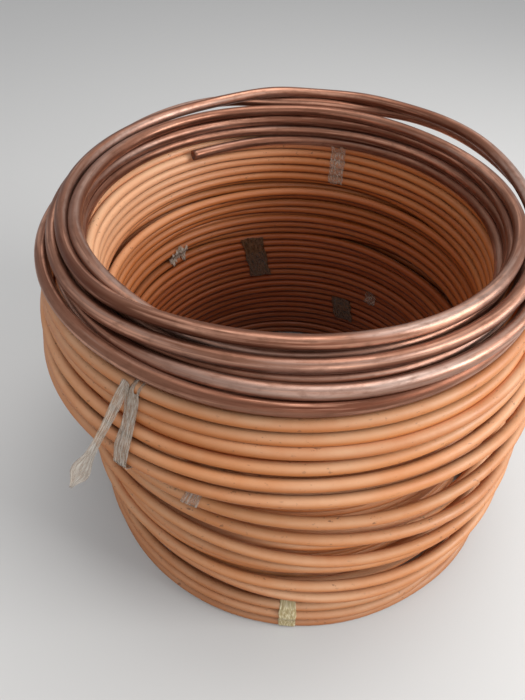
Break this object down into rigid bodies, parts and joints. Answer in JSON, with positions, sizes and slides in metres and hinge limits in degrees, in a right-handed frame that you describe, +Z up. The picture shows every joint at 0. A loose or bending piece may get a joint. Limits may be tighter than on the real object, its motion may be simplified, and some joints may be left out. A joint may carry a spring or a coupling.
{
  "type": "stack of copper tube coils",
  "caption": "Free-standing stack of loose coils of copper tube, orange-coated below and bare on top, with a round bore through the middle and scraps of packing tape.",
  "frame": {"origin": "on the floor under the middle of the bore", "axes": "+Z up along the bore, -Y towards the front where the loose tape hangs, +X to the right seen from the front"},
  "size_m": [0.681, 0.6745, 0.49],
  "materials": {
    "orange_coating": "dusty satin orange plastic coating",
    "bare_copper": "drawn copper, tarnished brown",
    "clear_tape": "clear packing tape, wrinkled and dusty",
    "brown_tape": "brown packing tape",
    "yellowed_tape": "yellowed packing tape, frayed"
  },
  "bodies": {
    "root": {"bottom_coil": "orange_coating", "fourth_coil": "orange_coating", "third_coil": "orange_coating", "second_coil": "orange_coating", "top_coil": "orange_coating", "bare_coil": "bare_copper", "clear_tape_in_top_coil": "clear_tape", "crumpled_tape_in_second_coil": "clear_tape", "brown_tape_in_third_coil": "brown_tape", "dark_tape_in_fourth_coil": "brown_tape", "faint_tape_in_fourth_coil": "clear_tape", "clear_strip_outside": "clear_tape", "loose_tail_of_strip": "clear_tape", "clear_patch_on_second_coil": "clear_tape", "frayed_tape_on_bottom_coil": "yellowed_tape"}
  },
  "joints": []
}
